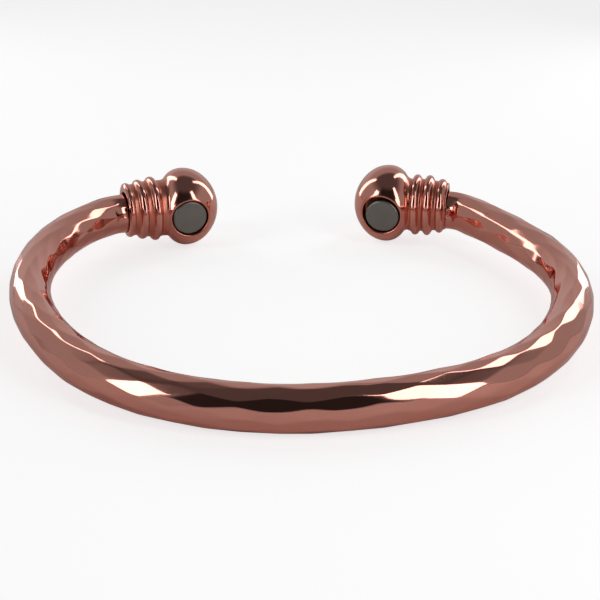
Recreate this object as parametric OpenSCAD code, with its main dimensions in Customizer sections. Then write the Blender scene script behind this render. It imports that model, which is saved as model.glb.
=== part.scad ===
// Open cuff bangle. A hammered round bar is bent round the wrist, and each of its
// ends is held in a cast cap: a sleeve with three ribs, then a flattened ball.
// A disc magnet sits in each ball and faces the wrist.
// Lengths are in millimetres and angles in degrees. The cuff lies on its side:
// the front of the bar and both balls touch z = 0, and the gap is at the back.

/* [Bar] */
// Outside width of the cuff, from side to side
cuff_w = 68.7; // [58:0.1:80]
// Diameter of the round bar
bar_d = 5; // [4.2:0.1:5.8]
// Extra bend that closes the gap at the back, spread over the bar
close_by = 0; // [-12:1:5]

/* [Hammering] */
// Flats in each row round the bar
flats_round = 10; // [7:1:12]
// Length of a flat along the bar, from tip to tip
flat_len = 7; // [5:0.5:10]
// Depth of a flat below the round bar
flat_depth = 0.13; // [0.04:0.01:0.2]
// Wander of the flats' corners, as a share of a flat
unevenness = 0.35; // [0:0.05:0.5]

/* [End caps] */
// Diameter of the ball across its axis
ball_d = 10.2; // [9.4:0.1:12]
// Thickness of the ball along its axis
ball_t = 9; // [8:0.1:9.8]
// Mouth of the sleeve to the centre of the ball
cap_reach = 8; // [7.7:0.1:10]
// Wall of the sleeve at its highest rib
sleeve_wall = 1.6; // [1.2:0.05:1.8]
// Rounding where the ball runs into the neck of the sleeve
neck_round = 0.5; // [0.3:0.05:0.8]
// Depth of the bore that holds the end of the bar
bore_l = 4.6; // [3:0.1:4.8]
// Clearance round the bar in the bore
bore_gap = 0.1; // [0.05:0.01:0.2]

/* [Magnets] */
// Diameter of each disc magnet
magnet_d = 4.5; // [3.5:0.1:4.6]
// Thickness of each disc magnet
magnet_t = 2; // [1:0.1:2.6]
// Depth of the magnet's face below the side of the ball
magnet_sink = 0.9; // [0.6:0.1:1.3]
// Open ring round the magnet in its recess
magnet_gap = 0.3; // [0.1:0.02:0.4]
// Tip of each magnet towards the surface that the cuff lies on
magnet_tip = 3; // [0:0.5:6]

/* [Hidden] */
$fn = 96;
copper = [0.72, 0.43, 0.36];
magnet_grey = [0.36, 0.35, 0.32];

// Stretches of the bar from the left mouth round the front to the right mouth.
// Columns: share of the bar's length, turn in degrees.
STRETCHES = [
    [0.020, 33.1],
    [0.096, 29.3],
    [0.096, 23.7],
    [0.096, 21.2],
    [0.096, 32.4],
    [0.096, 29.5],
    [0.096, 19.7],
    [0.096, 30.5],
    [0.096, 24.5],
    [0.096, 30.9],
    [0.096, 12.1],
    [0.020, 43.0]
];

// Ribs of the sleeve from the ball to the mouth.
// Columns: place as a share of cap_reach, then as shares of sleeve_wall the
// height of the crest and of the groove on the side of the mouth.
RIBS = [
    [0.500, 1.00, 0.70],
    [0.720, 0.90, 0.53],
    [0.915, 0.64, 0.44]
];
// Neck between the ball and the first rib, as a share of sleeve_wall
neck_share = 0.72;
// Rounding of each rib's crest, as a share of sleeve_wall
crest_share = 0.45;

bar_r = bar_d / 2;
ball_r = ball_d / 2;
bore_r = bar_r + bore_gap;
recess_r = magnet_d / 2 + magnet_gap;
magnet_face = ball_r - magnet_sink;
// Bedding under the magnet, and its rounded edge
magnet_bed = 0.05;
magnet_edge = 0.3;

// Step [x, y] along an arc that starts at heading h and turns by t over length l
function arc_step(h, t, l) =
    let (a = abs(t) < 0.001 ? 0.001 : t, r = l / (a * PI / 180))
    [r * (sin(h + a) - sin(h)), r * (cos(h) - cos(h + a))];

// Turn of stretch i, with its share of the extra bend
function turn_of(i) = STRETCHES[i][1] + close_by * STRETCHES[i][0];

// Ends of the stretches for a bar of length 1: [share, x, y, heading]
function walk(i, p) =
    i == len(STRETCHES) ? [p] :
    let (d = arc_step(p[3], turn_of(i), STRETCHES[i][0]))
    concat([p], walk(i + 1, [p[0] + STRETCHES[i][0], p[1] + d[0], p[2] + d[1], p[3] + turn_of(i)]));

ends = walk(0, [0, 0, 0, 0]);

// Point [x, y, heading] of the unit bar at share f. Past the mouths it runs straight.
function unit_at(f) =
    let (
        i = max(0, min(len(STRETCHES) - 1, len([for (e = ends) if (e[0] <= f) 1]) - 1)),
        e = ends[i],
        g = max(0, min(1, f)) - e[0],
        t = turn_of(i) * g / STRETCHES[i][0],
        d = arc_step(e[3], t, g),
        h = e[3] + t,
        over = f - max(0, min(1, f))
    )
    [e[1] + d[0] + over * cos(h), e[2] + d[1] + over * sin(h), h];

// The cuff is turned so that its two mouths lie level across the back
last_end = ends[len(STRETCHES)];
level = -atan2(last_end[2], last_end[1]);
function spin(p) = [
    p[0] * cos(level) - p[1] * sin(level),
    p[0] * sin(level) + p[1] * cos(level),
    p[2] + level
];
samples = [for (k = [0:240]) spin(unit_at(k / 240))];
x_lo = min([for (p = samples) p[0]]);
x_hi = max([for (p = samples) p[0]]);
y_lo = min([for (p = samples) p[1]]);
bar_l = (cuff_w - bar_d) / (x_hi - x_lo);

// Point [x, y, heading] in the plane of the cuff, s along the bar from the left
// mouth. The foremost point of the centre line has y = 0.
function plan_at(s) =
    let (p = spin(unit_at(s / bar_l)))
    [bar_l * (p[0] - (x_lo + x_hi) / 2), bar_l * (p[1] - y_lo), p[2]];

// Centre of each ball, and the heading from its sleeve to its ball
left_mouth = plan_at(0);
right_mouth = plan_at(bar_l);
left_heading = left_mouth[2] + 180;
right_heading = right_mouth[2];
function ball_at(mouth, h) = [mouth[0] + cap_reach * cos(h), mouth[1] + cap_reach * sin(h)];
left_ball = ball_at(left_mouth, left_heading);
right_ball = ball_at(right_mouth, right_heading);

// The balls are thicker than the bar, so the back of the cuff stands higher
ball_y = (left_ball[1] + right_ball[1]) / 2;
tilt = asin((ball_r - bar_r) / ball_y);
seat_y = (bar_r - max(left_ball[1], right_ball[1]) * cos(tilt) - ball_r) / 2;
module seat() {
    translate([0, seat_y, bar_r]) rotate([tilt, 0, 0]) children();
}

// The hammered surface is a net of lozenges in staggered rows. Column k lies
// half a flat from the next, and row j half a flat round the bar from the next.
// Where k + j is even, four flats meet in a corner, and elsewhere is the middle
// of a flat.
rows = 2 * flats_round;
columns = 2 * round(bar_l / flat_len);
column_l = bar_l / columns;
row_angle = 360 / rows;

// Repeatable scatter between -0.5 and 0.5
function scatter(k, j, seed) =
    let (v = sin(k * 127.1 + j * 311.7 + seed * 74.7) * 43758.5453)
    v - floor(v) - 0.5;

// Corner or middle of a flat: [s, outward, up] from the centre line
function net_point(k, j) =
    let (
        w = j % rows,
        free = k > 0 && k < columns ? unevenness : 0,
        s = column_l * (k + free * scatter(k, w, 1)),
        a = row_angle * (j + unevenness * scatter(k, w, 2)),
        depth = (k + j) % 2 == 0 ? 0 : flat_depth * (1 + unevenness * scatter(k, w, 3)),
        r = bar_r - depth
    )
    [s, r * cos(a), r * sin(a)];

// The net with one more point in the middle of each edge. Where all four edges
// of a cell meet its middle, the ridge runs through the two corners.
function fine_point(p, q) =
    let (
        k = floor(p / 2),
        j = floor(q / 2),
        k2 = k + p % 2,
        j2 = j + q % 2,
        flip = p % 2 == 1 && q % 2 == 1 && (k + j) % 2 == 1
    )
    flip ? (net_point(k2, j) + net_point(k, j2)) / 2 : (net_point(k, j) + net_point(k2, j2)) / 2;

// Place a point [s, outward, up] round the centre line
function on_bar(v) =
    let (p = plan_at(v[0]))
    [p[0] + v[1] * sin(p[2]), p[1] - v[1] * cos(p[2]), v[2]];

fine_rows = 2 * rows;
fine_columns = 2 * columns;
function round_ring(s, r) = [
    for (q = [0:fine_rows - 1])
    on_bar([s, r * cos(q * 360 / fine_rows), r * sin(q * 360 / fine_rows)])
];

// Each end of the bar is turned down a little where it enters its sleeve, stands
// off the bottom of the bore by tenon_end, and has its edge broken by tenon_step
tenon_r = bar_r - flat_depth;
tenon_end = 0.1;
tenon_l = bore_l - tenon_end;
tenon_step = 0.3;
tenon_rings = [[tenon_step, tenon_r], [tenon_l - tenon_step, tenon_r], [tenon_l, tenon_r - tenon_step]];
bar_rings = concat(
    [for (i = [2:-1:0]) round_ring(-tenon_rings[i][0], tenon_rings[i][1])],
    [for (p = [0:fine_columns]) [for (q = [0:fine_rows - 1]) on_bar(fine_point(p, q))]],
    [for (t = tenon_rings) round_ring(bar_l + t[0], t[1])]
);

// Two triangles between rings i and i + 1 at place q. The fold follows the ridge.
function cell(i, q) =
    let (
        a = i * fine_rows + q,
        b = i * fine_rows + (q + 1) % fine_rows,
        c = b + fine_rows,
        d = a + fine_rows,
        along = (floor((i - 3) / 2) + floor(q / 2)) % 2 == 0
    )
    along ? [[a, b, c], [a, c, d]] : [[a, b, d], [b, c, d]];

module bar() {
    n = len(bar_rings);
    color(copper) seat() polyhedron(
        points = [for (ring = bar_rings) each ring],
        faces = concat(
            [[for (q = [fine_rows - 1:-1:0]) q]],
            [for (i = [0:n - 2]) for (q = [0:fine_rows - 1]) each cell(i, q)],
            [[for (q = [0:fine_rows - 1]) (n - 1) * fine_rows + q]]
        ),
        convexity = 6
    );
}

function rib_z(i) = RIBS[i][0] * cap_reach;
function wall_r(share) = bar_r + share * sleeve_wall;
crest_round = crest_share * sleeve_wall;
neck_r = wall_r(neck_share);
// Turned faces that would only just touch overlap by this much instead
bite = 0.01;

// The cap is turned about its own axis, +z to the mouth, with the ball's centre at
// the origin. Three arcs make the ball: its side, its outer end and its shoulder. A
// hollow arc of neck_round, with its centre at [hollow_r, neck_z], leads from the
// shoulder to the neck.
half_t = ball_t / 2;
side_round = 0.88 * half_t;
end_round = (pow(ball_r - side_round, 2) + half_t * half_t - side_round * side_round)
    / (2 * (half_t - side_round));
shoulder_round = 0.52 * ball_r;
shoulder_in = ball_r - shoulder_round;
hollow_r = neck_r + neck_round - bite;
hollow_reach = shoulder_round + neck_round - bite;
neck_z = sqrt(pow(hollow_reach, 2) - pow(hollow_r - shoulder_in, 2));
meet_r = shoulder_in + (hollow_r - shoulder_in) * (shoulder_round - bite / 2) / hollow_reach;
module turned_ball() {
    drop = end_round - half_t;
    spread = 3 * ball_r / (ball_r - side_round);
    rotate_extrude() intersection() {
        translate([ball_r - side_round, 0]) circle(side_round);
        translate([0, -ball_r]) square([2 * ball_r, ball_r]);
    }
    rotate_extrude() intersection() {
        translate([0, drop]) circle(end_round);
        polygon([[0, drop], [0, drop - spread * drop], [3 * ball_r, drop - spread * drop]]);
    }
    rotate_extrude() intersection() {
        translate([shoulder_in, 0]) circle(shoulder_round);
        square([2 * ball_r, ball_r]);
    }
    cylinder(h = shoulder_round, r = shoulder_in);
    rotate_extrude() difference() {
        square([meet_r, neck_z]);
        translate([hollow_r, neck_z]) circle(neck_round);
    }
    cylinder(h = rib_z(0), r = neck_r);
}

// One rib: a round crest on two flanks at 45 degrees, and the wall towards the mouth
module turned_rib(i) {
    crest = wall_r(RIBS[i][1]) - crest_round;
    k = (crest_round - bite) * cos(45);
    flank = crest + 2 * k;
    top = i < len(RIBS) - 1 ? rib_z(i + 1) : cap_reach;
    translate([0, 0, rib_z(i)]) {
        rotate_extrude() translate([crest, 0]) circle(crest_round);
        rotate_extrude() polygon([[0, -flank], [0, flank], [crest + k, k], [crest + k, -k]]);
        cylinder(h = top - rib_z(i), r = wall_r(RIBS[i][2]));
    }
}

// Cap with the origin at the ball's centre, its mouth to -x and its magnet to -y
module cap() {
    difference() {
        rotate([0, -90, 0]) intersection() {
            union() {
                turned_ball();
                for (i = [0:len(RIBS) - 1]) turned_rib(i);
            }
            translate([0, 0, -ball_r]) cylinder(h = ball_r + cap_reach, r = 2 * ball_r);
        }
        rotate([0, -90, 0]) translate([0, 0, cap_reach - bore_l]) cylinder(h = bore_l + bore_r, r = bore_r);
        rotate([90, 0, 0]) translate([0, 0, magnet_face - magnet_t - magnet_bed]) cylinder(h = ball_d, r = recess_r);
    }
}

// Disc magnet in the same place, with rounded edges
module magnet() {
    r = magnet_d / 2;
    translate([0, magnet_t - magnet_face, 0]) rotate([90, 0, 0]) rotate_extrude() {
        translate([0, magnet_edge]) square([r, magnet_t - 2 * magnet_edge]);
        square([r - magnet_edge, magnet_t]);
        for (y = [magnet_edge, magnet_t - magnet_edge]) {
            translate([r - magnet_edge, y]) circle(magnet_edge);
        }
    }
}

// Put a cap or a magnet at its end of the bar, rolled about its axis by magnet_tip.
// The right one is turned over, so that its magnet faces the wrist too.
module at_left() {
    seat() translate([left_ball[0], left_ball[1], 0]) rotate([0, 0, left_heading])
        rotate([magnet_tip, 0, 0]) children();
}
module at_right() {
    seat() translate([right_ball[0], right_ball[1], 0]) rotate([0, 0, right_heading])
        rotate([180 - magnet_tip, 0, 0]) children();
}

module end_cap_left() { color(copper) at_left() cap(); }
module end_cap_right() { color(copper) at_right() cap(); }
module magnet_left() { color(magnet_grey) at_left() magnet(); }
module magnet_right() { color(magnet_grey) at_right() magnet(); }

bar();
end_cap_left();
end_cap_right();
magnet_left();
magnet_right();
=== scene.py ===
import math
import bmesh
import bpy
import numpy as np
from mathutils import Matrix, Vector


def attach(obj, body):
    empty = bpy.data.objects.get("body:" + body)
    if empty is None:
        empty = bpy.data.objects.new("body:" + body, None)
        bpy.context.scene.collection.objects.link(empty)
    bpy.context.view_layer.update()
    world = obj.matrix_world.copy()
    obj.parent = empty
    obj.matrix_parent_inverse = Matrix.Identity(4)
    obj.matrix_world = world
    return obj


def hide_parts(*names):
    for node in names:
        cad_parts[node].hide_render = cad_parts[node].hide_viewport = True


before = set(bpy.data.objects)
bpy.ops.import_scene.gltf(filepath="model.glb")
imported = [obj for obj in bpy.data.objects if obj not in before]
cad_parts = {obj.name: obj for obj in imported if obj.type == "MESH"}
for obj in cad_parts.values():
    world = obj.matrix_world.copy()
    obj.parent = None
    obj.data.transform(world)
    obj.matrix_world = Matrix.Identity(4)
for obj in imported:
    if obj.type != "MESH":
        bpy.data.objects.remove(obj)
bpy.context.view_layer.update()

print("frame loaded:", sorted(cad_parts))

# Lengths below are in millimetres and angles in degrees, as in the part's source
mm = 0.001
mergeWithin = 1e-6  # metres

photoView = {
    "place": (-15.857, -170.681, 69.692),
    "forward": (0.0798556, 0.9273545, -0.3655635),
    "up": (0.0176037, 0.3653655, 0.9306977),
    "focalPixels": 1559.355,
    "middlePixel": (292.4235, 298.7115),
    "imagePixels": 600,
    "sensor": 36.0,
    "nearest": 0.005,  # metres
    "farthest": 50.0,
}


def setCamera(view):
    forward = Vector(view["forward"]).normalized()
    right = forward.cross(Vector(view["up"])).normalized()
    up = right.cross(forward)
    data = bpy.data.cameras.new("photoCamera")
    camera = bpy.data.objects.new("photoCamera", data)
    bpy.context.scene.collection.objects.link(camera)
    turn = Matrix((right, up, -forward)).transposed().to_4x4()
    camera.matrix_world = Matrix.Translation(Vector(view["place"]) * mm) @ turn
    size = view["imagePixels"]
    data.sensor_fit = "HORIZONTAL"
    data.sensor_width = view["sensor"]
    data.lens = view["focalPixels"] / size * view["sensor"]
    data.shift_x = (size / 2 - view["middlePixel"][0]) / size
    data.shift_y = (view["middlePixel"][1] - size / 2) / size
    data.clip_start = view["nearest"]
    data.clip_end = view["farthest"]
    bpy.context.scene.camera = camera


setCamera(photoView)
print("camera set")

# The centre line of the bar, as in the part's source
cuffLine = {
    "outsideWidth": 68.7,
    "barDiameter": 5.0,
    "ballDiameter": 10.2,
    "capReach": 8.0,
    "stretches": [  # share of the bar's length, turn
        (0.020, 33.1), (0.096, 29.3), (0.096, 23.7), (0.096, 21.2), (0.096, 32.4), (0.096, 29.5),
        (0.096, 19.7), (0.096, 30.5), (0.096, 24.5), (0.096, 30.9), (0.096, 12.1), (0.020, 43.0),
    ],
    "samples": 240,
}


# Where each stretch ends on a bar of length 1
def walkLine(stretches):
    ends = [(0.0, 0.0, 0.0, 0.0)]  # length so far, x, y, heading
    for share, turn in stretches:
        f, x, y, h = ends[-1]
        r = share / math.radians(turn)
        a, b = math.radians(h), math.radians(h + turn)
        x, y = x + r * (math.sin(b) - math.sin(a)), y + r * (math.cos(a) - math.cos(b))
        ends.append((f + share, x, y, h + turn))
    return np.array(ends)


lineEnds = walkLine(cuffLine["stretches"])
levelTurn = -math.degrees(math.atan2(lineEnds[-1][2], lineEnds[-1][1]))


# Point x, y and heading of a bar of length 1, level at the back. Past its ends it runs straight.
def unitAt(share):
    share = np.atleast_1d(np.asarray(share, float))
    rows = np.array(cuffLine["stretches"])
    i = np.clip((lineEnds[None, :, 0] <= share[:, None]).sum(1) - 1, 0, len(rows) - 1)
    start = lineEnds[i]
    along = np.clip(share, 0, 1) - start[:, 0]
    bend = np.radians(rows[i, 1]) / rows[i, 0]
    h0 = np.radians(start[:, 3])
    h = h0 + along * bend
    x = start[:, 1] + (np.sin(h) - np.sin(h0)) / bend
    y = start[:, 2] + (np.cos(h0) - np.cos(h)) / bend
    over = share - np.clip(share, 0, 1)
    x, y = x + over * np.cos(h), y + over * np.sin(h)
    c, s = math.cos(math.radians(levelTurn)), math.sin(math.radians(levelTurn))
    return np.stack([x * c - y * s, x * s + y * c, np.degrees(h) + levelTurn], 1)


lineSamples = unitAt(np.arange(cuffLine["samples"] + 1) / cuffLine["samples"])
lowX, highX, lowY = lineSamples[:, 0].min(), lineSamples[:, 0].max(), lineSamples[:, 1].min()
barRadius = cuffLine["barDiameter"] / 2
ballRadius = cuffLine["ballDiameter"] / 2
barLength = (cuffLine["outsideWidth"] - cuffLine["barDiameter"]) / (highX - lowX)


# Plan x, y and heading of the real bar, s millimetres from its left end
def planAt(s):
    p = unitAt(np.atleast_1d(s) / barLength)
    x, y = barLength * (p[:, 0] - (lowX + highX) / 2), barLength * (p[:, 1] - lowY)
    return np.stack([x, y, p[:, 2]], 1)


leftMouth, rightMouth = planAt([0.0])[0], planAt([barLength])[0]
leftHeading, rightHeading = leftMouth[2] + 180, rightMouth[2]


def ballAt(mouth, heading):
    a, reach = math.radians(heading), cuffLine["capReach"]
    return np.array([mouth[0] + reach * math.cos(a), mouth[1] + reach * math.sin(a), 0.0])


leftBall, rightBall = ballAt(leftMouth, leftHeading), ballAt(rightMouth, rightHeading)
tilt = math.asin((ballRadius - barRadius) / ((leftBall[1] + rightBall[1]) / 2))
seatY = (barRadius - max(leftBall[1], rightBall[1]) * math.cos(tilt) - ballRadius) / 2


# From the plane of the cuff to the way it lies on the floor
def seated(points):
    c, s = math.cos(tilt), math.sin(tilt)
    x, y, z = points[:, 0], points[:, 1], points[:, 2]
    return np.stack([x, y * c - z * s + seatY, y * s + z * c + barRadius], 1)


# Mesh from points in millimetres. Marks are named numbers, one for each point.
def meshPiece(name, points, faces, marks):
    mesh = bpy.data.meshes.new(name)
    mesh.from_pydata((points * mm).tolist(), [], faces)
    mesh.validate()
    for label, values in marks.items():
        layer = mesh.attributes.new(label, "FLOAT", "POINT")
        layer.data.foreach_set("value", np.asarray(values, np.float32))
    mesh.update()
    piece = bpy.data.objects.new(name, mesh)
    bpy.context.scene.collection.objects.link(piece)
    return piece


# Four-sided faces between rings of equal count, closed round each ring
def ringFaces(rings, around):
    i, j = np.meshgrid(np.arange(rings - 1), np.arange(around), indexing="ij")
    a = (i * around + j).ravel()
    b = (i * around + (j + 1) % around).ravel()
    return np.stack([a, b, b + around, a + around], 1)


# Merge the poles, drop loose points and turn every face outward
def tidyMesh(piece):
    work = bmesh.new()
    work.from_mesh(piece.data)
    bmesh.ops.remove_doubles(work, verts=work.verts, dist=mergeWithin)
    bmesh.ops.delete(work, geom=[v for v in work.verts if not v.link_faces], context="VERTS")
    bmesh.ops.recalc_face_normals(work, faces=work.faces)
    for f in work.faces:
        f.smooth = True
    gaps = [e for e in work.edges if len(e.link_faces) != 2]
    if gaps:
        print("open edges on", piece.name, len(gaps))
    work.to_mesh(piece.data)
    work.free()


# The hammered bar. Its flats stand in staggered columns that wind slowly round the bar.
hammeredBar = {
    "flatsRound": 10,
    "firstColumn": 3.2,  # place of column 0
    "columnPitch": 3.5,  # half a flat
    "spareColumns": 3,  # past each end of the bar
    "rowAngle": 32.0,  # from outward to up, of row 0 at rowPlace
    "rowPlace": 59.2,
    "wind": 0.51,  # degrees for each millimetre of bar
    "depth": 0.05,
    "bow": 60.0,  # radius of a flat along the bar
    "soft": 48.0,  # sharpness of the ridges, higher is sharper
    "fullest": 0.035,  # how far a ridge may stand out of the round bar
    "reachAlong": 10.0,  # how far from its middle a flat is worked out
    "reachRound": 55.0,
    "wander": 0.15,
    "seed": 7,
    "rings": 640,
    "around": 150,
    "struck": [  # place and angle of the flats that show most in the photo
        (66, 32), (72.5, 34), (79.5, 35), (86.5, 42), (93.5, 52), (100.5, 56), (108.5, 59),
        (116.5, 62), (123.5, 65), (62.5, 44), (69, 55), (97, 72), (104, 72), (112, 70), (72.5, 72),
        (79, 70), (69, 11), (76, 11), (83, 13), (51, 58), (44, 50), (33.5, 57), (6.5, 130),
        (13.5, 130), (20, 137), (3, 147), (23, 150), (27.5, 137), (34, 125), (40, 115), (115, 118),
        (127.5, 152), (132.5, 137), (137.5, 132), (143.5, 128),
    ],
    "trim": [  # how it departs from a round bar: place, width, height, shift inward, lift
        (0, 1.0, 1.0, 0.25, -0.10),
        (8, 1.0, 1.0, 0.05, 0.0),
        (18, 1.0, 1.0, 0.0, 0.0),
        (28, 0.95, 1.0, 0.0, 0.0),
        (40, 0.95, 1.0, 0.0, 0.0),
        (50, 1.0, 1.0, 0.0, 0.0),
        (64, 1.0, 1.0, 0.07, 0.02),
        (90, 1.0, 1.0, 0.07, 0.02),
        (98, 1.0, 1.0, 0.0, 0.0),
        (105, 1.0, 0.96, 0.0, 0.0),
        (116, 1.0, 1.0, 0.0, 0.0),
        (126, 0.95, 1.0, 0.0, 0.0),
        (136, 1.0, 1.0, 0.0, 0.0),
        (147, 1.0, 1.0, 0.15, -0.1),
        (155, 1.0, 1.0, 0.4, -0.15),
    ],
    "tenonRadius": 2.32,  # the turned-down ends, in the bores of the caps
    "tenonLength": 4.5,
    "tenonBreak": 0.3,  # the broken edge of each end
    "tenonFillet": 0.05,
}


# Flats as columns: place along the bar, angle from outward to up, distance from the centre line
def flatTable(h):
    pitch, around, spare = h["columnPitch"], h["flatsRound"], h["spareColumns"]
    rng = np.random.default_rng(h["seed"])
    rows = []
    for k in range(-spare, int(barLength / pitch) + spare + 1):
        s = h["firstColumn"] + pitch * k
        for j in range(around):
            along, turn, deep = rng.uniform(-0.5, 0.5, 3) * h["wander"]
            place = s + along * pitch
            angle = h["rowAngle"] + h["wind"] * (s - h["rowPlace"])
            angle += 360 / around * (j + 0.5 * (k % 2) + 0.5 * turn)
            rows.append((place, angle, barRadius - h["depth"] * (1 + deep)))
    rows = np.array(rows)
    for place, angle in h["struck"]:
        turn = (rows[:, 1] - angle + 180) % 360 - 180
        nearest = np.hypot((rows[:, 0] - place) / pitch, turn / (180 / around)).argmin()
        rows[nearest] = place, angle, barRadius - h["depth"]
    return rows


# Radius of the hammered bar: the innermost of all flats, with softened ridges
def hammeredRadius(s, angle, flats, h):
    total = np.zeros((len(s), len(angle)))
    for place, middle, radius in flats:
        rows = np.where(np.abs(s - place) < h["reachAlong"])[0]
        turn = np.radians((angle - middle + 180) % 360 - 180)
        cols = np.where(np.abs(turn) < math.radians(h["reachRound"]))[0]
        if len(rows) and len(cols):
            off = s[rows] - place
            r = (radius + off * off / (2 * h["bow"]))[:, None] / np.cos(turn[cols])[None, :]
            total[np.ix_(rows, cols)] += np.exp(-h["soft"] * (r - barRadius))
    radius = barRadius - np.log(np.maximum(total, 1e-9)) / h["soft"]
    return np.minimum(barRadius + h["fullest"], radius)


def makeBar(h):
    s = np.linspace(0, barLength, h["rings"])
    angle = np.arange(h["around"]) * 360 / h["around"]
    radius = hammeredRadius(s, angle, flatTable(h), h)
    r, l, e, fillet = h["tenonRadius"], h["tenonLength"], h["tenonBreak"], h["tenonFillet"]
    ends = [(fillet, r + 0.8 * fillet), (e, r), (l - e, r), (l - e / 3, r - e / 5), (l, r - e)]
    s = np.concatenate([[-p[0] for p in ends[::-1]], s, [barLength + p[0] for p in ends]])
    turned = np.array([[p[1]] * h["around"] for p in ends])
    radius = np.concatenate([turned[::-1], radius, turned])
    line = planAt(s)
    place, *trims = np.array(h["trim"]).T
    width, height, inward, lift = (np.interp(s, place, trim)[:, None] for trim in trims)
    heading = np.radians(line[:, 2])[:, None]
    a = np.radians(angle)[None, :]
    out = radius * np.cos(a) * width - inward
    rise = radius * np.sin(a) * height + lift
    x = line[:, 0][:, None] + out * np.sin(heading)
    y = line[:, 1][:, None] - out * np.cos(heading)
    points = seated(np.stack([x, y, rise], 2).reshape(-1, 3))
    n = h["around"]
    faces = ringFaces(len(s), n)[:, ::-1].tolist()
    faces.append(list(range(n)))
    faces.append([len(s) * n - 1 - j for j in range(n)])
    piece = meshPiece("hammeredBar", points, faces, {})
    tidyMesh(piece)
    return piece


bar = makeBar(hammeredBar)
print("hammered bar:", len(bar.data.polygons), "faces")

# The cast end caps. Places run from the ball's centre towards the mouth.
castCap = {
    "around": 200,
    "ballThickness": 9.0,
    "sideRound": 0.88,  # share of half the ball's thickness
    "shoulders": [  # share of the ball's radius, neck round: on top, below, beside the magnet
        (0.52, 1.3), (0.52, 0.6), (0.74, 0.4),
    ],
    "steps": (22, 34, 34, 18),  # points along outer end, side, shoulder, neck
    "crestRound": 0.5,
    "flankStart": 0.86,  # share of crestRound where the straight flank of a crest begins
    "grooveWidth": 1.7,  # from a crest to where the next level starts, if it hasn't yet
    "soft": 0.07,  # how far a crest runs out into its grooves
    "grooveShadeRise": 0.3,  # how far the painted groove shade climbs out of a groove
    "sleeveRings": 116,
    "mouthEdge": 0.06,
    "boreRadius": 2.64,
    "boreLift": 0.1,
    "boreDepth": 4.6,
    "leanStart": (2.2, 1.5),  # where the rings start to lean, and over what length
    "leanFade": (3.8, 0.2),  # from where the lean fades, and its loss for each millimetre
    "recessFloor": 2.15,
    "recessSpare": 0.08,  # how much wider than its rim the ball is opened
    "recessHeights": (1.0, 6.5),  # between which the ball's surface is looked for
    "recessEven": 9,  # points that the hole's edge is evened out over
    "recessRings": 7,  # over the rounded rim
    "recessWall": [(0.3, 0.0), (0.98, 0.0), (1.0, 0.02)],  # rings below: share of depth, share inward
    "left": {
        "neck": 3.68,
        "crests": [(4.25, 4.22), (5.98, 3.92), (7.62, 3.55)],  # place, radius
        "grooves": [3.66, 3.36],
        "mouth": 3.15,
        "inward": 0.25,  # how far the mouth lies towards the wrist
        "lift": 0.34,
        "leanRings": 0.0,  # how far the rings lean, share of their height
        "recess": {  # aside: how far its own middle lies from the magnet's
            "turn": 2.0, "tip": 2.0, "shift": -0.27, "radius": 2.4, "rim": 0.3, "aside": (0.0, 0.0),
        },
    },
    "right": {
        "neck": 3.42,
        "crests": [(3.84, 4.05), (5.48, 4.02), (7.15, 3.6)],
        "grooves": [3.46, 3.3],
        "mouth": 3.1,
        "inward": 0.42,
        "lift": 0.38,
        "leanRings": 0.035,
        "recess": {
            "turn": 3.0, "tip": 6.0, "shift": 0.0, "radius": 2.55, "rim": 0.35, "aside": (0.15, 0.17),
        },
    },
}
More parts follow.
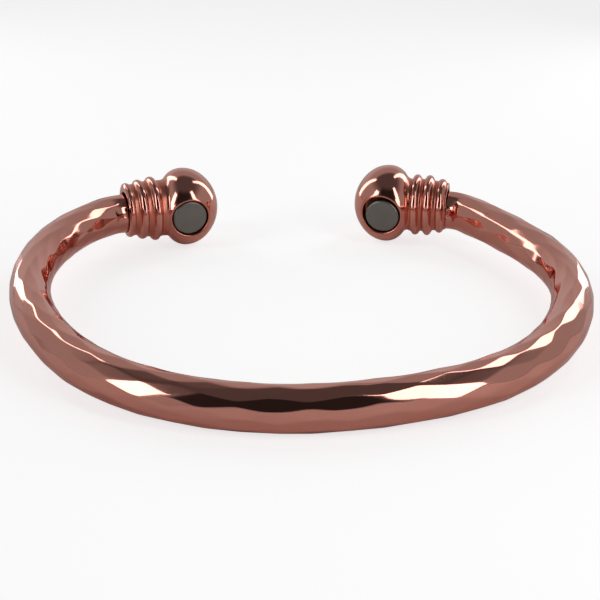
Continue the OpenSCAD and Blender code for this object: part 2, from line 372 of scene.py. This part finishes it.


# Outline of the cap from the outer end of the ball to the bottom of its bore: place, radius,
# share of painted shade (how deep it lies in a groove, crease or the bore), and whether it is outside
def capOutline(c, own, shoulderShare, neckRound):
    half, r0 = c["ballThickness"] / 2, ballRadius
    side, shoulder = c["sideRound"] * half, shoulderShare * r0
    onEnd, onSide, onShoulder, onNeck = c["steps"]
    end = ((r0 - side) ** 2 + half ** 2 - side ** 2) / (2 * (half - side))
    drop = end - half
    meet = math.atan2(r0 - side, drop)
    line = [(drop - end * math.cos(a), end * math.sin(a), 0.0, 1) for a in np.linspace(0, meet, onEnd)]
    line += [(-side * math.cos(a), r0 - side + side * math.sin(a), 0.0, 1)
             for a in np.linspace(meet, math.pi / 2, onSide)[1:]]
    hollow, core = own["neck"] + neckRound, r0 - shoulder
    neckPlace = math.sqrt((shoulder + neckRound) ** 2 - (hollow - core) ** 2)
    last = math.atan2(neckPlace, hollow - core)
    line += [(shoulder * math.sin(a), core + shoulder * math.cos(a), 0.0, 1)
             for a in np.linspace(0, last, onShoulder)[1:]]
    # painted shade that deepens down the fillet from the ball into the neck
    line += [(neckPlace - neckRound * math.sin(a), hollow - neckRound * math.cos(a), 1 - a / last, 1)
             for a in np.linspace(last, 0, onNeck)[1:]]

    # sleeve: round crests that stand out of the neck and the grooves
    mouth, top = own["mouth"], cuffLine["capReach"]
    places = [p for p, _ in own["crests"]]
    levels = [(neckPlace, own["neck"]), (places[0], own["neck"])]
    for p, groove in zip(places, own["grooves"]):
        levels += [(max(p + 0.01, levels[-1][0]), groove), (p + c["grooveWidth"], groove)]
    levels += [(max(places[-1] + 0.01, levels[-1][0]), mouth), (top, mouth)]
    u = np.linspace(neckPlace, top - c["mouthEdge"], c["sleeveRings"] + 1)[1:-1]
    level = np.interp(u, [p for p, _ in levels], [r for _, r in levels])
    soft, crestRound = c["soft"], c["crestRound"]
    limit = c["flankStart"] * crestRound
    slope = limit / math.sqrt(crestRound ** 2 - limit ** 2)
    middle = 4.0  # taken off first, so that the sums below stay small
    total = np.exp((level - middle) / soft)
    for place, radius in own["crests"]:
        off = np.abs(u - place)
        near = np.minimum(off, limit)
        height = radius - crestRound + np.sqrt(crestRound ** 2 - near ** 2) - slope * (off - near)
        total += np.exp((height - middle) / soft)
    r = soft * np.log(total) + middle
    # painted shade with a mirrored copper tint: darker, redder colour in each groove, fading out as the
    # sleeve climbs out of it
    groove = np.clip(1 - (r - level) / c["grooveShadeRise"], 0, 1)
    line += [(a, b, g, 1) for a, b, g in zip(u, r, groove)]

    # mouth and bore, with painted shade that deepens into the bore
    edge, bore, bottom = c["mouthEdge"], c["boreRadius"], top - c["boreDepth"]
    line += [(top - edge, mouth, 0.0, 1), (top - edge / 3, mouth - edge / 3, 0.0, 1)]
    line += [(top, mouth - edge, 0.0, 1), (top, bore + edge, 0.3, 0)]
    line += [(top - edge / 2, bore + edge / 4, 0.6, 0), (top - 2 * edge, bore, 1.0, 0)]
    line += [(top - 1.0, bore, 1.0, 0), (bottom, bore, 1.0, 0), (bottom, 0.0, 1.0, 0)]
    return np.array(line)


# Axis of the cap towards its outer end, the way its magnet faces, and up for the left cap
def capAxes(heading, side):
    a = math.radians(heading)
    axis = np.array([math.cos(a), math.sin(a), 0.0])
    return np.array([axis, np.array([axis[1], -axis[0], 0.0]) * side, [0.0, 0.0, side]])


# The same three directions for a recess or magnet, given along the cap's own
def recessAxes(recess, side):
    t, p = math.radians(recess["turn"]), math.radians(recess["tip"])
    axis = np.array([math.cos(t), -math.sin(t), 0.0])
    level = np.array([math.sin(t), math.cos(t), 0.0])
    up = np.array([0.0, 0.0, side])
    return np.array([axis, level * math.cos(p) - up * math.sin(p), level * math.sin(p) + up * math.cos(p)])


# How far the sleeve lies towards the wrist and up, more and more on its way to the mouth
def sleeveLean(own, side, place):
    place, reach = np.maximum(place, 0), cuffLine["capReach"]
    share = place * place / (place + 1) / (reach ** 2 / (reach + 1))
    return own["inward"] * share, side * own["lift"] * share


# The cap before its recess is cut, along its own directions: three outlines blended round the axis
def capNet(c, own, side):
    outlines = [capOutline(c, own, *shoulder) for shoulder in c["shoulders"]]
    line = outlines[2]
    phi = np.arange(c["around"]) * 2 * math.pi / c["around"]
    facing = np.clip(np.cos(phi), 0, 1) ** 2
    high = (0.5 + 0.5 * side * np.sin(phi)) * (1 - facing)
    shares = (high, 1 - facing - high, facing)
    u = sum(share[None, :] * o[:, 0][:, None] for share, o in zip(shares, outlines))
    r = sum(share[None, :] * o[:, 1][:, None] for share, o in zip(shares, outlines))
    across, up = sleeveLean(own, side, u)
    started = np.clip((u - c["leanStart"][0]) / c["leanStart"][1], 0, 1)
    fading = 1 - c["leanFade"][1] * np.clip(u - c["leanFade"][0], 0, 5)
    back = own["leanRings"] * fading * started * started * (3 - 2 * started) * side * r * np.sin(phi)
    inBore = line[:, 3][:, None] < 0.5
    up, back = np.where(inBore, side * c["boreLift"], up), np.where(inBore, 0, back)
    points = np.stack([back - u, r * np.cos(phi) + across, r * np.sin(phi) + up], 2).reshape(-1, 3)
    return points, line


# The order of the points of a hole's edge, from the faces that were taken out
def holeLoop(faces):
    edges = {(p, q) for f in faces for p, q in zip(f, f[1:] + f[:1])}
    following = {p: q for p, q in edges if (q, p) not in edges}
    loop = [min(following)]
    while following[loop[-1]] != loop[0]:
        loop.append(following[loop[-1]])
    return np.array(loop)


# Open the ball round its recess, then close it on a true circle with a rounded rim, wall and floor, all
# with painted shade that deepens into the recess
def cutRecess(c, own, side, points, line):
    n, recess = c["around"], own["recess"]
    faces, groove = ringFaces(len(line), n), np.repeat(line[:, 2], n)
    rim, middle = recess["rim"], (recess["shift"] + recess["aside"][0], recess["aside"][1])
    axes = recessAxes(recess, side)
    lowest, highest = c["recessHeights"]
    turned = points @ axes.T
    away = np.hypot(turned[:, 0] - middle[0], turned[:, 2] - middle[1])
    inside = (away < recess["radius"] + rim + c["recessSpare"]) & (turned[:, 1] > lowest)
    inside &= np.repeat(line[:, 3] > 0.5, n)
    cut = inside[faces].any(1)
    loop = holeLoop(faces[cut].tolist())

    # angle of each point of the hole's edge, evened out with its neighbours'
    turn = np.unwrap(np.arctan2(turned[loop, 2] - middle[1], turned[loop, 0] - middle[0]))
    whole = math.copysign(2 * math.pi, turn[-1] - turn[0])
    m = len(loop)
    wide = np.concatenate([turn - whole, turn, turn + whole])
    turn = np.convolve(wide, np.ones(c["recessEven"]) / c["recessEven"], "same")[m:2 * m]
    skin = line[line[:, 3] > 0.5]

    # circle of this radius on the ball's own surface, found by halving the height
    def onBall(radius):
        ring = np.stack([middle[0] + radius * np.cos(turn), 0 * turn, middle[1] + radius * np.sin(turn)], 1)
        low, high = np.full(m, lowest), np.full(m, highest)
        for _ in range(40):
            ring[:, 1] = (low + high) / 2
            p = ring @ axes
            a, z = sleeveLean(own, side, -p[:, 0])
            proud = np.hypot(p[:, 1] - a, p[:, 2] - z) > np.interp(-p[:, 0], skin[:, 0], skin[:, 1])
            high, low = np.where(proud, ring[:, 1], high), np.where(proud, low, ring[:, 1])
        return ring

    # marks: painted shade, growing over the rounded rim and full on the wall and floor
    rings, marks = [], []
    for t in np.linspace(0, math.pi / 2, c["recessRings"]):
        ring = onBall(recess["radius"] + rim * (1 - math.sin(t)))
        ring[:, 1] -= rim * (1 - math.cos(t))
        rings.append(ring)
        marks.append(min(0.3 + 0.4 * t, 1.0))
    foot, floor = rings[-1], c["recessFloor"]
    for share, inward in c["recessWall"]:
        ring = foot.copy()
        ring[:, 0] += (middle[0] - ring[:, 0]) * inward
        ring[:, 1] = foot[:, 1] + (floor - foot[:, 1]) * share
        ring[:, 2] += (middle[1] - ring[:, 2]) * inward
        rings.append(ring)
        marks.append(1.0)
    centre = np.array([[middle[0], floor, middle[1]]])
    ids = [loop] + [len(points) + np.arange(i * m, (i + 1) * m) for i in range(len(rings))]
    patch = []
    for lower, upper in zip(ids, ids[1:]):
        patch += np.stack([lower, np.roll(lower, -1), np.roll(upper, -1), upper], 1).tolist()
    hub = len(points) + len(rings) * m
    patch += [[int(p), int(q), hub] for p, q in zip(ids[-1], np.roll(ids[-1], -1))]
    points = np.concatenate([points] + [ring @ axes for ring in rings + [centre]])
    groove = np.concatenate([groove] + [np.full(m, mark) for mark in marks] + [[1.0]])
    return points, faces[~cut].tolist() + patch, groove


def makeCap(name, c, hand, centre, heading, side):
    own = c[hand]
    points, line = capNet(c, own, side)
    points, faces, groove = cutRecess(c, own, side, points, line)
    points = seated(centre + points @ capAxes(heading, side))
    piece = meshPiece(name, points, faces, {"groove": groove})
    tidyMesh(piece)
    return piece


leftCap = makeCap("castCapLeft", castCap, "left", leftBall, leftHeading, 1)
rightCap = makeCap("castCapRight", castCap, "right", rightBall, rightHeading, -1)
print("cast caps:", len(leftCap.data.polygons), len(rightCap.data.polygons), "faces")

# The disc magnets, in the recesses of the caps
discMagnet = {
    "leftRadius": 2.27,
    "rightRadius": 2.24,
    "thickness": 2.0,
    "sink": 0.9,  # how far the face lies below the ball's radius
    "edge": 0.25,
    "dome": 0.02,
    "steps": (12, 11, 7),  # points over the face, its edge, the back edge
    "around": 128,
}


def makeMagnet(name, d, hand, centre, heading, side):
    recess = castCap[hand]["recess"]
    r, e, dome = d[hand + "Radius"], d["edge"], d["dome"]
    onFace, onEdge, onBack = d["steps"]
    face = ballRadius - d["sink"]
    back = face - d["thickness"]
    line = [(0.0, face + dome)]
    line += [(w * (r - e), face + dome * (1 - w * w)) for w in np.linspace(0.1, 1, onFace)]
    line += [(r - e + e * math.sin(t), face - e + e * math.cos(t))
             for t in np.linspace(0, math.pi / 2, onEdge)[1:]]
    line += [(r, back + e), (r, back + e * 0.98)]
    line += [(r - e + e * math.cos(t), back + e - e * math.sin(t))
             for t in np.linspace(0, math.pi / 2, onBack)[1:]]
    line += [(0.0, back)]
    phi = np.arange(d["around"]) * 2 * math.pi / d["around"]
    points = [(w * math.cos(p) + recess["shift"], h, w * math.sin(p)) for w, h in line for p in phi]
    points = np.array(points) @ recessAxes(recess, side)
    points = seated(centre + points @ capAxes(heading, side))
    piece = meshPiece(name, points, ringFaces(len(line), d["around"]).tolist(), {})
    tidyMesh(piece)
    return piece


leftMagnet = makeMagnet("discMagnetLeft", discMagnet, "left", leftBall, leftHeading, 1)
rightMagnet = makeMagnet("discMagnetRight", discMagnet, "right", rightBall, rightHeading, -1)
print("magnets made")


# Noise that the wear and the tarnish of all the metals share
surfaceNoise = {
    "slowDetail": 3.0,
    "slowRough": 0.55,
    "fineDetail": 4.0,
    "fineRough": 0.6,
    "fineRatio": 9.0,  # how much finer the wiping marks are than the slow clouds
    "tarnishFrom": 0.4,
    "tarnishTo": 0.75,
}


def newGroup(name, inputs, outputs):
    group = bpy.data.node_groups.new(name, "ShaderNodeTree")
    for label, kind, value in inputs:
        socket = group.interface.new_socket(label, in_out="INPUT", socket_type=kind)
        socket.default_value = value
    for label, kind in outputs:
        group.interface.new_socket(label, in_out="OUTPUT", socket_type=kind)
    return group, group.nodes.new("NodeGroupInput"), group.nodes.new("NodeGroupOutput")


def addNode(tree, kind, **values):
    node = tree.nodes.new(kind)
    for key, value in values.items():
        if hasattr(node, key):
            setattr(node, key, value)
        else:
            node.inputs[key].default_value = value
    return node


# Fine wiping marks and a slow cloud of duller polish
def makePolishWear(noise):
    group, given, made = newGroup(
        "polishWear",
        [
            ("Gloss", "NodeSocketFloat", 0.1),
            ("Spread", "NodeSocketFloat", 0.04),
            ("Scale", "NodeSocketFloat", 400.0),
            ("Hollow", "NodeSocketFloat", 0.0),
        ],
        [("Roughness", "NodeSocketFloat"), ("Height", "NodeSocketFloat")],
    )
    place = addNode(group, "ShaderNodeTexCoord")
    slow = addNode(group, "ShaderNodeTexNoise", Detail=noise["slowDetail"], Roughness=noise["slowRough"])
    fine = addNode(group, "ShaderNodeTexNoise", Detail=noise["fineDetail"], Roughness=noise["fineRough"])
    more = addNode(group, "ShaderNodeMath", operation="MULTIPLY")
    more.inputs[1].default_value = noise["fineRatio"]
    group.links.new(place.outputs["Object"], slow.inputs["Vector"])
    group.links.new(place.outputs["Object"], fine.inputs["Vector"])
    group.links.new(given.outputs["Scale"], slow.inputs["Scale"])
    group.links.new(given.outputs["Scale"], more.inputs[0])
    group.links.new(more.outputs[0], fine.inputs["Scale"])
    centred = addNode(group, "ShaderNodeMath", operation="SUBTRACT")
    centred.inputs[1].default_value = 0.5
    group.links.new(slow.outputs[0], centred.inputs[0])
    rough = addNode(group, "ShaderNodeMath", operation="MULTIPLY_ADD")
    group.links.new(centred.outputs[0], rough.inputs[0])
    group.links.new(given.outputs["Spread"], rough.inputs[1])
    group.links.new(given.outputs["Gloss"], rough.inputs[2])
    dull = addNode(group, "ShaderNodeMath", operation="ADD")
    group.links.new(rough.outputs[0], dull.inputs[0])
    group.links.new(given.outputs["Hollow"], dull.inputs[1])
    group.links.new(dull.outputs[0], made.inputs["Roughness"])
    group.links.new(fine.outputs[0], made.inputs["Height"])
    return group


# Clean metal that turns to a darker, redder colour: real tarnish in faint clouds, and painted shade with a
# mirrored copper tint in grooves, creases, the bore and the recess
def makeTarnishAndShade(noise):
    group, given, made = newGroup(
        "tarnishAndShade",
        [
            ("Clean", "NodeSocketColor", (0.8, 0.4, 0.3, 1)),
            ("TarnishAndShade", "NodeSocketColor", (0.4, 0.1, 0.06, 1)),
            ("Hollow", "NodeSocketFloat", 0.0),
            ("Clouds", "NodeSocketFloat", 0.2),
            ("Scale", "NodeSocketFloat", 180.0),
        ],
        [("Color", "NodeSocketColor")],
    )
    place = addNode(group, "ShaderNodeTexCoord")
    cloud = addNode(group, "ShaderNodeTexNoise", Detail=noise["fineDetail"], Roughness=noise["fineRough"])
    group.links.new(place.outputs["Object"], cloud.inputs["Vector"])
    group.links.new(given.outputs["Scale"], cloud.inputs["Scale"])
    spread = addNode(group, "ShaderNodeMapRange")
    spread.inputs["From Min"].default_value = noise["tarnishFrom"]
    spread.inputs["From Max"].default_value = noise["tarnishTo"]
    group.links.new(cloud.outputs[0], spread.inputs["Value"])
    faint = addNode(group, "ShaderNodeMath", operation="MULTIPLY")
    group.links.new(spread.outputs[0], faint.inputs[0])
    group.links.new(given.outputs["Clouds"], faint.inputs[1])
    both = addNode(group, "ShaderNodeMath", operation="ADD", use_clamp=True)
    group.links.new(faint.outputs[0], both.inputs[0])
    group.links.new(given.outputs["Hollow"], both.inputs[1])
    mix = addNode(group, "ShaderNodeMix", data_type="RGBA")
    group.links.new(both.outputs[0], mix.inputs[0])
    group.links.new(given.outputs["Clean"], mix.inputs[6])
    group.links.new(given.outputs["TarnishAndShade"], mix.inputs[7])
    group.links.new(mix.outputs[2], made.inputs["Color"])
    return group


polishWear, tarnishAndShade = makePolishWear(surfaceNoise), makeTarnishAndShade(surfaceNoise)


def metalMaterial(name, m):
    material = bpy.data.materials.new(name)
    material.use_nodes = True
    tree = material.node_tree
    shader = tree.nodes["Principled BSDF"]
    shader.inputs["Metallic"].default_value = 1.0
    wear = addNode(tree, "ShaderNodeGroup")
    wear.node_tree = polishWear
    wear.inputs["Gloss"].default_value = m["gloss"]
    wear.inputs["Spread"].default_value = m["glossSpread"]
    wear.inputs["Scale"].default_value = m["wearScale"]
    tree.links.new(wear.outputs["Roughness"], shader.inputs["Roughness"])
    bump = addNode(tree, "ShaderNodeBump")
    bump.inputs["Strength"].default_value = m["markStrength"]
    bump.inputs["Distance"].default_value = m["markDepth"] * mm
    tree.links.new(wear.outputs["Height"], bump.inputs["Height"])
    tree.links.new(bump.outputs["Normal"], shader.inputs["Normal"])
    tone = addNode(tree, "ShaderNodeGroup")
    tone.node_tree = tarnishAndShade
    tone.inputs["Clean"].default_value = (*m["clean"], 1)
    tone.inputs["TarnishAndShade"].default_value = (*m["tarnishAndShadeTone"], 1)
    tone.inputs["Clouds"].default_value = m["clouds"]
    tone.inputs["Scale"].default_value = m["cloudScale"]
    if m["mark"]:
        # painted shade: the groove mark darkens and reddens grooves, creases, the bore and the recess
        mark = addNode(tree, "ShaderNodeAttribute", attribute_name=m["mark"])
        share = addNode(tree, "ShaderNodeMath", operation="MULTIPLY")
        share.inputs[1].default_value = m["grooveShadeShare"]
        tree.links.new(mark.outputs["Fac"], share.inputs[0])
        tree.links.new(share.outputs[0], tone.inputs["Hollow"])
        dull = addNode(tree, "ShaderNodeMath", operation="MULTIPLY")
        dull.inputs[1].default_value = m["markDull"]
        tree.links.new(mark.outputs["Fac"], dull.inputs[0])
        tree.links.new(dull.outputs[0], wear.inputs["Hollow"])
    tree.links.new(tone.outputs["Color"], shader.inputs["Base Color"])
    return material


copperLook = {
    "clean": (0.80, 0.36, 0.29),
    # tone of the tarnish clouds, and of the painted shade in grooves
    "tarnishAndShadeTone": (0.62, 0.17, 0.10),
    "gloss": 0.10,
    "glossSpread": 0.05,
    "wearScale": 350.0,
    "markStrength": 0.05,
    "markDepth": 0.01,
    "clouds": 0.12,
    "cloudScale": 160.0,
    "mark": "groove",
    # how strongly the painted groove shade shows
    "grooveShadeShare": 0.65,
    "markDull": 0.22,
}
magnetLook = {
    "clean": (0.25, 0.245, 0.225),
    "tarnishAndShadeTone": (0.18, 0.175, 0.155),
    "gloss": 0.42,
    "glossSpread": 0.08,
    "wearScale": 900.0,
    "markStrength": 0.2,
    "markDepth": 0.01,
    "clouds": 0.35,
    "cloudScale": 500.0,
    "mark": None,
}
barCopper = metalMaterial("hammeredCopper", {**copperLook, "mark": None})
castCopper = metalMaterial("castCopper", copperLook)
magnetPlating = metalMaterial("magnetPlating", magnetLook)

stands = [
    (bar, barCopper, "bar", "copper"),
    (leftCap, castCopper, "end_cap_left", "copper"),
    (rightCap, castCopper, "end_cap_right", "copper"),
    (leftMagnet, magnetPlating, "magnet_left", "magnet"),
    (rightMagnet, magnetPlating, "magnet_right", "magnet"),
]
for piece, material, node, slot in stands:
    piece.data.materials.append(material)
    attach(piece, "root")
    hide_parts(node)
print("materials set")

# The studio: pale floor, soft boxes round the cuff, grey walls, a dark front and ceiling.
# Angles are azimuths from the front to the right, or heights above the floor.
studio = {
    "floorSize": 6000.0,
    "floorSeen": 0.5,  # tone of the floor as the camera sees it
    "floorGlow": 0.72,  # light that it gives off for the camera alone
    "floorMirrored": (0.9, 0.84, 0.82),  # tone of the floor for light and mirroring
    "floorRough": 0.9,
    "wall": 0.36,
    "back": 0.5,
    "backFacing": (0.6, 0.9),  # how squarely to the back: where the paler wall starts, and is full
    "backHeight": (15, 40),  # up to where it is full, and where it ends
    "ceiling": 0.09,
    "ceilingSide": (0.5, 1.5),  # sideways share of height: up to where it is full, and where it ends
    "ceilingBack": (0.45, 0.75),  # the same, backwards
    "dark": 0.02,
    "darkMiddle": -7.0,
    "darkSide": (38, 48),  # angle from darkMiddle: up to where it is full, and where it ends
    "darkLow": (6, 18),  # where it starts, and is full
    "darkHigh": (50, 68),  # up to where it is full, and where it ends
    "boxes": [  # foot, head, width, radiance
        ((-540, -240, 40), (-540, -240, 600), 200, 3.0),
        ((110, -105, 12), (110, -105, 285), 46, 3.0),
        ((-110, 160, 0), (-138, 122, 230), 34, 2.6),
        ((120, 135, 0), (130, 95, 300), 34, 2.6),
    ],
}


def makeFloor(st):
    half = st["floorSize"] / 2 * mm
    mesh = bpy.data.meshes.new("floor")
    corners = [(-half, -half, 0), (half, -half, 0), (half, half, 0), (-half, half, 0)]
    mesh.from_pydata(corners, [], [(0, 1, 2, 3)])
    floor = bpy.data.objects.new("floor", mesh)
    bpy.context.scene.collection.objects.link(floor)
    material = bpy.data.materials.new("paleFloor")
    material.use_nodes = True
    tree = material.node_tree
    shader = tree.nodes["Principled BSDF"]
    shader.inputs["Roughness"].default_value = st["floorRough"]
    shader.inputs["Specular IOR Level"].default_value = 0.0
    shader.inputs["Emission Color"].default_value = (1, 1, 1, 1)
    path = addNode(tree, "ShaderNodeLightPath")
    mix = addNode(tree, "ShaderNodeMix", data_type="RGBA")
    mix.inputs[6].default_value = (*st["floorMirrored"], 1)
    mix.inputs[7].default_value = (st["floorSeen"], st["floorSeen"], st["floorSeen"], 1)
    tree.links.new(path.outputs["Is Camera Ray"], mix.inputs[0])
    tree.links.new(mix.outputs[2], shader.inputs["Base Color"])
    glow = addNode(tree, "ShaderNodeMath", operation="MULTIPLY")
    glow.inputs[1].default_value = st["floorGlow"]
    tree.links.new(path.outputs["Is Camera Ray"], glow.inputs[0])
    tree.links.new(glow.outputs[0], shader.inputs["Emission Strength"])
    mesh.materials.append(material)


# Upright soft boxes from foot to head, all turned towards the middle of the cuff
def makeBoxes(st):
    for i, (foot, head, width, radiance) in enumerate(st["boxes"]):
        foot, head = Vector(foot) * mm, Vector(head) * mm
        middle, up = (foot + head) / 2, (head - foot).normalized()
        away = Vector((middle.x, middle.y, 0))
        away = (away - up * away.dot(up)).normalized()
        across = up.cross(away)
        light = bpy.data.lights.new("softBox%d" % i, "AREA")
        light.shape = "RECTANGLE"
        light.size, light.size_y = width * mm, (head - foot).length
        light.energy = radiance * math.pi * light.size * light.size_y  # watts
        lamp = bpy.data.objects.new("softBox%d" % i, light)
        lamp.visible_camera = False
        bpy.context.scene.collection.objects.link(lamp)
        turn = Matrix((across, up, away)).transposed().to_4x4()
        lamp.matrix_world = Matrix.Translation(middle) @ turn


def makeWorld(st):
    world = bpy.data.worlds.new("studioWalls")
    bpy.context.scene.world = world
    world.use_nodes = True
    tree = world.node_tree
    back = tree.nodes["Background"]
    way = addNode(tree, "ShaderNodeTexCoord")
    parts = addNode(tree, "ShaderNodeSeparateXYZ")
    tree.links.new(way.outputs["Generated"], parts.inputs[0])

    def calc(operation, *values):
        node = addNode(tree, "ShaderNodeMath", operation=operation)
        for k, v in enumerate(values):
            if isinstance(v, (int, float)):
                node.inputs[k].default_value = v
            else:
                tree.links.new(v, node.inputs[k])
        return node.outputs[0]

    def step(value, low, high):
        node = addNode(tree, "ShaderNodeMapRange", interpolation_type="SMOOTHSTEP")
        node.inputs["From Min"].default_value = low
        node.inputs["From Max"].default_value = high
        tree.links.new(value, node.inputs["Value"])
        return node.outputs[0]

    # 1 up to the first bound, 0 from the second on
    def until(value, bounds):
        return step(value, bounds[1], bounds[0])

    def blend(share, start, end):
        return calc("ADD", start, calc("MULTIPLY", share, calc("SUBTRACT", end, start)))

    x, y, z = parts.outputs["X"], parts.outputs["Y"], parts.outputs["Z"]
    azimuth = calc("ARCTAN2", x, calc("MULTIPLY", y, -1.0))
    height = calc("ARCSINE", z)
    behind = calc("MULTIPLY", step(y, *st["backFacing"]), until(height, np.radians(st["backHeight"])))
    tone = blend(behind, st["wall"], st["back"])
    above = calc("MAXIMUM", z, 0.001)  # keeps the divisions sound below the horizon
    side, rear = calc("ABSOLUTE", calc("DIVIDE", x, above)), calc("DIVIDE", y, above)
    ceiling = calc("MULTIPLY", until(side, st["ceilingSide"]), until(rear, st["ceilingBack"]))
    tone = blend(ceiling, tone, st["ceiling"])
    off = calc("ABSOLUTE", calc("SUBTRACT", azimuth, math.radians(st["darkMiddle"])))
    front = calc("MULTIPLY", until(off, np.radians(st["darkSide"])),
                 step(height, *np.radians(st["darkLow"])))
    front = calc("MULTIPLY", front, until(height, np.radians(st["darkHigh"])))
    tone = blend(front, tone, st["dark"])
    tree.links.new(tone, back.inputs["Color"])


makeFloor(studio)
makeBoxes(studio)
makeWorld(studio)
bpy.context.scene.view_settings.view_transform = "Standard"
print("studio set")
